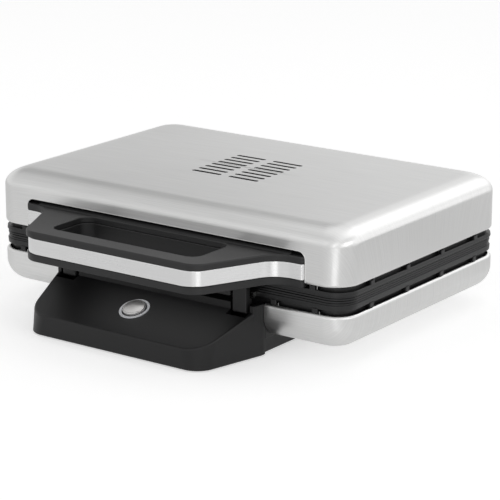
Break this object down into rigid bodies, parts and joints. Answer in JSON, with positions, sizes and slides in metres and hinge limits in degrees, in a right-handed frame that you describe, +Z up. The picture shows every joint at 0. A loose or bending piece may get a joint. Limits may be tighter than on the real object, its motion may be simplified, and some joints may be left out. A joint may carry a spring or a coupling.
{
  "type": "sandwich maker",
  "caption": "Countertop sandwich maker with a hinged steel lid, flat ring handle, locking clip, sloping front foot with a push button, and two ribbed toast plates with triangular pockets.",
  "frame": {"origin": "middle of the closed part's footprint, on the table", "axes": "+Z up; -Y towards the user, where the handle and the button are; +X to the user's right"},
  "size_m": [0.3, 0.272, 0.0965],
  "materials": {
    "brushed_steel": "brushed",
    "black_plastic": "fine matte",
    "nonstick_coating": "satin",
    "heater_sheath": "dull",
    "pressed_aluminium": "satin",
    "ceramic": "matte",
    "laminate": "satin",
    "rubber": "matte",
    "clear_ring": "frosted"
  },
  "bodies": {
    "base": {"foot_pad_front_left": "rubber", "foot_pad_front_right": "rubber", "foot_pad_rear_left": "rubber", "foot_pad_rear_right": "rubber", "rear_foot_left": "black_plastic", "rear_foot_right": "black_plastic", "pedestal_bottom_plate": "black_plastic", "pedestal_housing": "black_plastic", "power_switch": "ceramic", "indicator_board": "laminate", "light_ring": "clear_ring", "base_shell": "brushed_steel", "cord_gland": "rubber", "terminal_block": "ceramic", "base_frame": "black_plastic", "lower_plate": "nonstick_coating", "lower_heater": "heater_sheath", "lower_heater_clamp_left": "pressed_aluminium", "lower_heater_clamp_right": "pressed_aluminium", "lower_thermostat": "ceramic", "lower_reflector": "pressed_aluminium", "lower_thermal_fuse": "ceramic", "hinge_pin_left": "brushed_steel", "hinge_pin_right": "brushed_steel", "keeper_left": "brushed_steel", "keeper_right": "brushed_steel"},
    "lid": {"lid_shell": "brushed_steel", "lid_frame": "black_plastic", "upper_plate": "nonstick_coating", "upper_heater": "heater_sheath", "upper_heater_clamp_left": "pressed_aluminium", "upper_heater_clamp_right": "pressed_aluminium", "upper_reflector": "pressed_aluminium", "upper_thermal_fuse": "ceramic", "handle_bottom_cover": "black_plastic", "handle_band": "brushed_steel", "handle_top_cover": "black_plastic"},
    "latch": {"latch_shaft": "brushed_steel", "latch_leg_left": "black_plastic", "latch_leg_right": "black_plastic"},
    "button": {"button_cap": "brushed_steel", "button_plunger": "black_plastic"}
  },
  "joints": [
    {"name": "lid_hinge", "type": "hinge", "parent": "base", "child": "lid", "pos_m": [0, 0.13, 0.0472], "axis": [-1, 0, 0], "range_deg": [0, 105]},
    {"name": "latch_pivot", "type": "hinge", "parent": "lid", "child": "latch", "pos_m": [0, -0.07785, 0.0576], "axis": [1, 0, 0], "range_deg": [0, 8]},
    {"name": "button_press", "type": "slide", "parent": "base", "child": "button", "axis": [0, 0.3428, -0.9394], "range_m": [0, 0.002], "stiffness_N_per_m": 600, "springref_m": -0.001}
  ]
}
